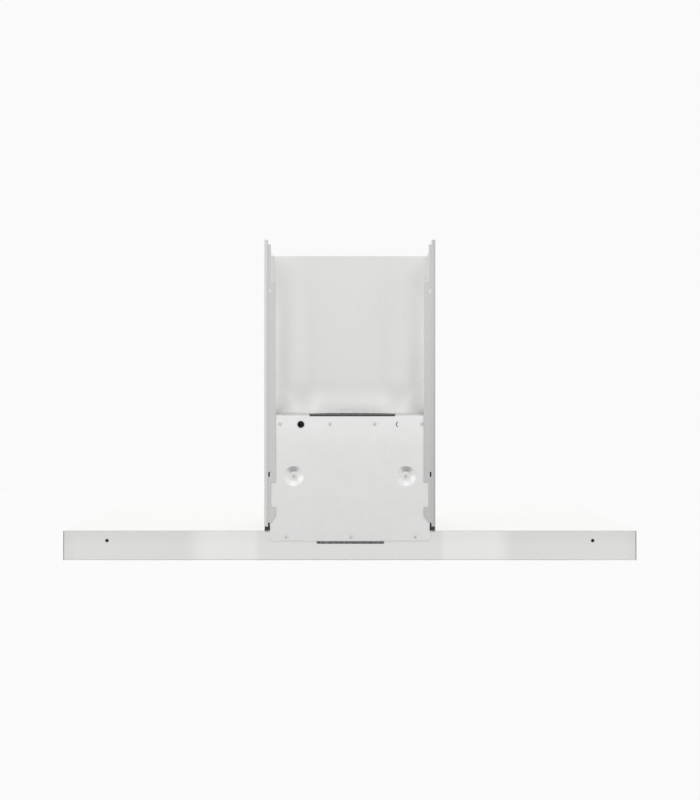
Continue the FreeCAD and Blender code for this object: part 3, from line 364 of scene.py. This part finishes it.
def brushed(name, colour, along, roughness, tone=None, edge=SHEET_EDGE, crease_shade=0.7):
    """Brushed sheet metal: fine scratches along one axis, cloudy handling marks, soft sheen."""
    material, tree, bsdf = shader(name, colour, 1.0, roughness)
    fine, broad = [SCRATCHES] * 3, [STREAKS] * 3
    fine[along], broad[along] = SCRATCHES_ALONG, STREAKS_ALONG
    scratches = noise(tree, fine, detail=3.0)
    streaks = noise(tree, broad)
    clouds = noise(tree, [MARKS] * 3, detail=3.0)
    grain = maths(tree, "ADD", maths(tree, "MULTIPLY", scratches, SCRATCH_SHARE),
                  maths(tree, "MULTIPLY", streaks, STREAK_SHARE))
    shade = maths(tree, "ADD", grain, maths(tree, "MULTIPLY", clouds, MARK_SHARE))
    base = tint(tree, spread(tree, shade, 0.0, 1.0), *around(colour, BRUSHED_SWING))
    # where a tone is given, it is painted light and shade in the base colour
    if tone:
        base = toned(tree, base, tone(tree))
    # painted shade beside steps and in corners
    tree.links.new(painted_shade_in_creases(tree, base, crease_shade), bsdf.inputs["Base Color"])
    worn = maths(tree, "ADD", maths(tree, "MULTIPLY", scratches, 0.5), maths(tree, "MULTIPLY", clouds, 0.5))
    tree.links.new(spread(tree, worn, roughness - 0.04, roughness + 0.04), bsdf.inputs["Roughness"])
    bump(tree, bsdf, grain, 0.2, 0.00003, edge)
    return material


def plated(name, colour, roughness, spangle, tone=None):
    """Zinc-plated sheet with a faint spangle and a slight orange peel."""
    material, tree, bsdf = shader(name, colour, 1.0, roughness)
    place = tree.nodes.new("ShaderNodeTexCoord")
    cells = tree.nodes.new("ShaderNodeTexVoronoi")
    cells.inputs["Scale"].default_value = SPANGLES
    tree.links.new(place.outputs["Object"], cells.inputs["Vector"])
    facet = tree.nodes.new("ShaderNodeSeparateColor")
    tree.links.new(cells.outputs["Color"], facet.inputs["Color"])
    clouds = noise(tree, [STAINS] * 3, detail=4.0)
    peel = noise(tree, [PEEL] * 3)
    shade = maths(tree, "ADD", maths(tree, "MULTIPLY", facet.outputs["Red"], spangle),
                  maths(tree, "MULTIPLY", clouds, 1.0 - spangle))
    base = tint(tree, spread(tree, shade, 0.0, 1.0), *around(colour, PLATED_SWING))
    # where a tone is given, it is painted light and shade in the base colour
    if tone:
        base = toned(tree, base, tone(tree))
    # painted shade beside steps and in corners
    tree.links.new(painted_shade_in_creases(tree, base, 0.6), bsdf.inputs["Base Color"])
    tree.links.new(spread(tree, shade, roughness + 0.02, roughness - 0.02), bsdf.inputs["Roughness"])
    bump(tree, bsdf, peel, 0.15, 0.00005, PLATED_EDGE)
    return material


def moulded(name, colour, roughness, grain=1400.0, depth=0.00006):
    """Moulded plastic or rubber with a fine erosion texture."""
    material, tree, bsdf = shader(name, colour, 0.0, roughness)
    texture = noise(tree, [grain] * 3, detail=3.0, roughness=0.6)
    clouds = spread(tree, noise(tree, [MOULD_CLOUDS] * 3), 0.0, 1.0)
    tree.links.new(tint(tree, clouds, *around(colour, MOULDED_SWING)), bsdf.inputs["Base Color"])
    tree.links.new(spread(tree, texture, roughness - 0.08, roughness + 0.08), bsdf.inputs["Roughness"])
    bump(tree, bsdf, texture, 0.4, depth)
    return material


def finish_nodes(material, *names):
    for name in names:
        mesh = nodes[name].data
        mesh.materials.clear()
        mesh.materials.append(material)


def numbered(pattern, count):
    return [pattern % (i + 1) for i in range(count)]


def cover_painted_light_and_shade(name):
    """Painted light and shade inside a cover: paler towards its folds and its foot, and darker at the
    flanges by the wall.
    """
    low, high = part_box(name)
    side_skin = high[0] - COVER_SHEET / 2
    front_skin = low[1] + COVER_SHEET / 2

    def tone(tree):
        across, depth, height = (along_axis(tree, axis) for axis in (X_AXIS, Y_AXIS, Z_AXIS))
        out = maths(tree, "ABSOLUTE", across, 0.0)
        lift = maths(tree, "MULTIPLY", smooth(tree, out, 0.0, 1.0, *LIFT_ACROSS),
                     smooth(tree, height, PAINTED_LIFT_LOW, PAINTED_LIFT_HIGH, *LIFT_HEIGHTS))
        wall = maths(tree, "MULTIPLY", maths(tree, "ADD", lift, COVER_INSIDE),
                     smooth(tree, height, FOOT_PAINTED_LIGHT, 1.0, *FOOT_HEIGHTS))
        band = maths(tree, "MULTIPLY", smooth(tree, out, 0.0, 1.0, *DIP_START),
                     smooth(tree, out, 1.0, 0.0, *DIP_END))
        dip = maths(tree, "MULTIPLY", band, smooth(tree, height, DIP_PAINTED_SHADE, 0.0, *DIP_HEIGHTS))
        wall = maths(tree, "MINIMUM", maths(tree, "SUBTRACT", wall, dip), 1.0)
        foot = smooth(tree, across, *FLANGE_FOOT_SHADE, *FLANGE_SIDES)
        fold = maths(tree, "MULTIPLY", smooth(tree, out, 0.0, FLANGE_FOLD_LIGHT_AND_SHADE, *FOLD_ACROSS),
                     maths(tree, "SIGN", across, 0.0))
        flange = maths(tree, "ADD", fold,
                       blended(tree, foot, 1.0, smooth(tree, height, 0.0, 1.0, *FLANGE_HEIGHTS)))
        flange = maths(tree, "MULTIPLY", flange, COVER_FLANGE_SHADE)
        wall = blended(tree, wall, flange, smooth(tree, depth, 0.0, 1.0, *FLANGE_DEPTHS))
        skin = maths(tree, "MAXIMUM",
                     smooth(tree, out, 0.0, 1.0, side_skin - SKIN_BLUR, side_skin + SKIN_BLUR),
                     smooth(tree, depth, 1.0, 0.0, front_skin - SKIN_BLUR, front_skin + SKIN_BLUR))
        skin = maths(tree, "MULTIPLY", skin, smooth(tree, depth, 1.0, 0.0, *SKIN_DEPTHS))
        return blended(tree, wall, COVER_OUTSIDE, skin)

    return tone


def panel_painted_light(tree):
    """Painted light: the panel is a little paler towards its top, and the box's top is paler still."""
    height = along_axis(tree, Z_AXIS)
    return maths(tree, "ADD", smooth(tree, height, *PANEL_LEVELS, *PANEL_HEIGHTS),
                 smooth(tree, height, 0.0, BOX_TOP_PAINTED_LIGHT, *BOX_TOP_HEIGHTS))


def canopy_painted_light_and_shade(tree):
    """Painted light and shade: two paler stretches beside the chimney, painted highlights on the folds, and
    a darker top and ends.
    """
    out = maths(tree, "ABSOLUTE", along_axis(tree, X_AXIS), 0.0)
    height = along_axis(tree, Z_AXIS)
    level = smooth(tree, out, 1.0, END_PAINTED_SHADE, *END_START)
    steps = ((out, 0.0, BESIDE_PAINTED_LIGHT, BESIDE_START), (out, 0.0, OUTER_PAINTED_SHADE, OUTER_START),
             (height, 0.0, UPPER_PAINTED_SHADE, UPPER_HEIGHTS), (height, 0.0, TOP_FOLD_HIGHLIGHT, TOP_FOLD_HEIGHTS),
             (height, LOW_FOLD_HIGHLIGHT, 0.0, LOW_FOLD_HEIGHTS))
    for place, start, end, places in steps:
        level = maths(tree, "ADD", level, smooth(tree, place, start, end, *places))
    return level


def shell_painted_light(tree):
    """Painted light: the canopy's top plate is paler than its front and its ends."""
    return smooth(tree, along_axis(tree, Z_AXIS), 1.0, TOP_PLATE_PAINTED_LIGHT, *TOP_PLATE_HEIGHTS)


def glass(name, colour, roughness):
    """Frosted glass that lets most light through."""
    material, tree, bsdf = shader(name, colour, 0.0, roughness)
    frost = noise(tree, [FROST] * 3)
    tree.links.new(spread(tree, frost, roughness - 0.05, roughness + 0.08), bsdf.inputs["Roughness"])
    bsdf.inputs["Transmission Weight"].default_value = 0.75
    bsdf.inputs["IOR"].default_value = 1.5
    bump(tree, bsdf, frost, 0.2, 0.00004)
    return material


def dress_nodes():
    """Gives every CAD node its material and adds the pieces of detail."""
    back_steel = brushed("stainless_canopy_back", STEEL, X_AXIS, 0.3, canopy_painted_light_and_shade, crease_shade=0.85)
    canopy_steel = brushed("stainless_canopy", STEEL, X_AXIS, 0.3, shell_painted_light, crease_shade=0.9)
    under_steel = brushed("stainless_underside", scaled(STEEL, 0.95), X_AXIS, 0.34)
    zinc = plated("zinc_sheet", ZINC, 0.36, 0.35, panel_painted_light)
    zinc_inner = plated("zinc_inner", scaled(ZINC, 0.92), 0.4, 0.6)
    black = moulded("black_plastic", (0.024, 0.024, 0.023), 0.5)
    collar_black = moulded("collar_plastic", (0.03, 0.03, 0.029), 0.2)
    rubber = moulded("black_rubber", (0.012, 0.012, 0.012), 0.75)
    white = moulded("white_plastic", (0.72, 0.72, 0.69), 0.42)
    cast = moulded("cast_aluminium", (0.42, 0.43, 0.43), 0.5, 600.0, 0.00015)
    cast.node_tree.nodes["Principled BSDF"].inputs["Metallic"].default_value = 1.0
    aluminium = brushed("filter_aluminium", (0.44, 0.45, 0.46), Y_AXIS, 0.38)
    screw_steel = brushed("screw_steel", (0.74, 0.74, 0.73), Y_AXIS, 0.34)
    button_metal = brushed("button_metal", (0.7, 0.7, 0.7), X_AXIS, 0.25)
    board = moulded("board_green", (0.02, 0.11, 0.05), 0.35, 300.0)
    lens = glass("frosted_lens", (0.93, 0.94, 0.93), 0.25)
    finish_nodes(canopy_steel, "canopy_shell")
    finish_nodes(back_steel, "canopy_back")
    for name in ("lower_chimney_cover", "upper_chimney_cover"):
        finish_nodes(brushed("stainless_" + name, COVER_STEEL, Z_AXIS, 0.24, cover_painted_light_and_shade(name),
                             COVER_EDGE, crease_shade=0.9), name)
    finish_nodes(under_steel, "underframe")
    finish_nodes(zinc, "blower_back_panel", "blower_box")
    finish_nodes(zinc_inner, "blower_strap", "scroll_wrap", "scroll_side_left", "scroll_side_right",
                 "outlet_plate", "motor_bracket", "capacitor_clip", "impeller")
    finish_nodes(collar_black, "outlet_collar")
    finish_nodes(black, "chimney_feet", "damper_flap_rear", "damper_flap_front",
                 "terminal_box", "terminal_lid", "button_guide", "button_switches")
    finish_nodes(rubber, "cable_grommet")
    finish_nodes(white, "capacitor")
    finish_nodes(cast, "motor")
    finish_nodes(aluminium, *numbered("filter_%d_frame", 3), *numbered("filter_%d_mesh", 3))
    finish_nodes(black, *numbered("filter_%d_latch", 3))
    finish_nodes(screw_steel, "back_panel_screws", "strap_screws", "motor_shaft", "damper_pin")
    finish_nodes(canopy_steel, "lamp_bezel_left", "lamp_bezel_right", "control_bezel")
    finish_nodes(zinc_inner, "lamp_can_left", "lamp_can_right")
    finish_nodes(lens, "lamp_lens_left", "lamp_lens_right")
    finish_nodes(button_metal, *numbered("button_%d", 5))
    finish_nodes(board, "control_board")
    detail_screws(screw_steel)
    detail_filters(aluminium)
    detail_lenses(lens)


# ---------------------------------------------------------------- pieces
def islands(name):
    """Low and high corner of each separate solid in a node."""
    bm = bmesh.new()
    bm.from_mesh(nodes[name].data)
    bm.transform(nodes[name].matrix_world)
    bmesh.ops.remove_doubles(bm, verts=bm.verts, dist=WELD)
    bm.verts.ensure_lookup_table()
    seen, found = set(), []
    for start in bm.verts:
        if start in seen:
            continue
        seen.add(start)
        group, edge = [], [start]
        while edge:
            vert = edge.pop()
            group.append(vert.co.copy())
            for link in vert.link_edges:
                other = link.other_vert(vert)
                if other not in seen:
                    seen.add(other)
                    edge.append(other)
        found.append((Vector(map(min, zip(*group))), Vector(map(max, zip(*group)))))
    bm.free()
    return found


def add_piece(name, bm, material, body, slot, *replaced):
    """Puts a finished mesh in the scene in place of the CAD nodes that it details."""
    bmesh.ops.recalc_face_normals(bm, faces=bm.faces)
    mesh = bpy.data.meshes.new(name)
    bm.to_mesh(mesh)
    bm.free()
    mesh.materials.append(material)
    piece = bpy.data.objects.new(name, mesh)
    bpy.context.scene.collection.objects.link(piece)
    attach(piece, body)
    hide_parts(*replaced)
    return piece


def turn(bm, profile, place, segments=TURN_STEPS):
    """Revolves (radius, height) points about an axis through place, which maps them to space."""
    rings = []
    for radius, height in profile:
        if radius == 0.0:
            rings.append([bm.verts.new(place @ Vector((0.0, 0.0, height)))])
            continue
        angles = [math.tau * i / segments for i in range(segments)]
        rings.append([bm.verts.new(place @ Vector((radius * math.cos(a), radius * math.sin(a), height)))
                      for a in angles])
    for ring, following in zip(rings, rings[1:]):
        for i in range(segments):
            j = (i + 1) % segments
            corners = [ring[i % len(ring)], ring[j % len(ring)],
                       following[j % len(following)], following[i % len(following)]]
            face = bm.faces.new(list(dict.fromkeys(corners)))
            face.smooth = True
    return rings


def cross_outline(reach, width):
    """Twelve corners of a cross."""
    quarter = [(reach, -width), (reach, width), (width, width)]
    points = []
    for turns in range(4):
        for x, y in quarter:
            for _ in range(turns):
                x, y = -y, x
            points.append((x, y))
    return points


def cross_screw(bm, tip, head_top, radius, head_height):
    """A screw along +Y with a low crowned head, a cross recess and a threaded shank."""
    place = Matrix.Translation(Vector((tip.x, 0.0, tip.z))) @ Matrix.Rotation(-math.pi / 2, 4, "X")
    base = head_top - head_height
    core = radius * SCREW_CORE
    profile = [(0.0, tip.y), (core * SCREW_TIP, tip.y + core * TIP_LENGTH)]
    turns = int((base - tip.y - core) / SCREW_PITCH)
    for i in range(turns):
        start = tip.y + core * TIP_LENGTH + (i + THREAD_FLANK) * SCREW_PITCH
        profile += [(core, start), (core * THREAD_CREST, start + SCREW_PITCH * THREAD_FLANK),
                    (core, start + SCREW_PITCH * 2 * THREAD_FLANK)]
    profile += [(core, base)] + [(radius * out, base + head_height * up) for out, up in HEAD_PROFILE]
    crown = turn(bm, profile + [(radius * HEAD_CROWN, head_top)], place)[-1]
    reach, width = radius * CROSS_REACH, radius * CROSS_WIDTH
    loops = []
    for height, taper in ((head_top, 1.0), (head_top - head_height * CROSS_DEPTH, CROSS_TAPER)):
        loops.append([bm.verts.new(place @ Vector((x * taper, y * taper, height)))
                      for x, y in cross_outline(reach, width)])
    rim = [bm.edges.get((crown[i], crown[i - 1])) for i in range(len(crown))]
    rim += [bm.edges.new((loops[0][i], loops[0][i - 1])) for i in range(len(loops[0]))]
    bmesh.ops.triangle_fill(bm, use_beauty=True, use_dissolve=False, edges=rim)
    for i in range(len(loops[0])):
        bm.faces.new((loops[0][i - 1], loops[0][i], loops[1][i], loops[1][i - 1]))
    bm.faces.new(loops[1])


def detail_screws(material):
    """Screws with a cross recess, one for each solid of a screw node."""
    for name, head_height in (("back_panel_screws", PANEL_HEAD), ("strap_screws", STRAP_HEAD)):
        bm = bmesh.new()
        for low, high in islands(name):
            centre = (low + high) / 2
            cross_screw(bm, Vector((centre.x, low.y, centre.z)), high.y, (high.z - low.z) / 2, head_height)
        add_piece(name + "_cross", bm, material, "root", "screw_steel", name)


def expanded_sheet(bm, low, high, cell, lift):
    """Diamond cells of expanded metal, pleated across Y."""
    columns = round((high.x - low.x) / cell)
    rows = 2 * round((high.y - low.y) / (cell * CELL_SHAPE))
    middle = (low.z + high.z) / 2 + lift
    swing = (high.z - low.z) / 2 - STRAND - abs(lift)
    grid = []
    for j in range(rows + 1):
        y = low.y + (high.y - low.y) * j / rows
        z = middle + swing * math.sin(math.tau * PLEATS * j / rows)
        shift = 0.5 if j % 2 else 0.0
        grid.append([bm.verts.new((low.x + (high.x - low.x) * min(i + shift, columns) / columns, y, z))
                     for i in range(columns + 1)])
    for j in range(1, rows):
        odd = j % 2
        for i in range(columns - odd):
            bm.faces.new((grid[j][i], grid[j - 1][i + odd], grid[j][i + 1], grid[j + 1][i + odd]))
    bmesh.ops.delete(bm, geom=[v for v in bm.verts if not v.link_faces], context="VERTS")


def detail_filters(material):
    """Two layers of expanded metal in each filter, a fine one and a coarse one."""
    for number in (1, 2, 3):
        name = "filter_%d_mesh" % number
        low, high = islands(name)[0]
        bm = bmesh.new()
        expanded_sheet(bm, low, high, FINE_CELL, -LAYER_LIFT)
        expanded_sheet(bm, low, high, COARSE_CELL, LAYER_LIFT)
        piece = add_piece("filter_%d_expanded" % number, bm, material, "filter_%d" % number,
                          "filter_aluminium", name)
        strands = piece.modifiers.new("strands", "WIREFRAME")
        strands.thickness = STRAND
        strands.use_even_offset = False


def detail_lenses(material):
    """Lenses with fine rings on their lower face."""
    for side in ("left", "right"):
        name = "lamp_lens_" + side
        low, high = islands(name)[0]
        centre, radius = (low + high) / 2, (high.x - low.x) / 2
        place = Matrix.Translation(Vector((centre.x, centre.y, 0.0)))
        count = round(radius * RINGS_REACH / LENS_RING)
        profile = [(0.0, low.z + LENS_DEPTH)]
        for i in range(count):
            profile += [((i + 0.5) * LENS_RING, low.z), ((i + 1) * LENS_RING, low.z + LENS_DEPTH)]
        profile += [(radius * RIM_START, low.z), (radius - LENS_DEPTH, low.z), (radius, low.z + LENS_DEPTH),
                    (radius, high.z), (0.0, high.z)]
        bm = bmesh.new()
        turn(bm, profile, place, LENS_STEPS)
        add_piece("lens_rings_" + side, bm, material, "root", "lens", name)


# ---------------------------------------------------------------- the scene
bpy.context.scene.view_settings.view_transform = "Standard"
set_world()
set_floor()
photo_camera()
for light in LIGHTS:
    softbox(*light)
dress_nodes()
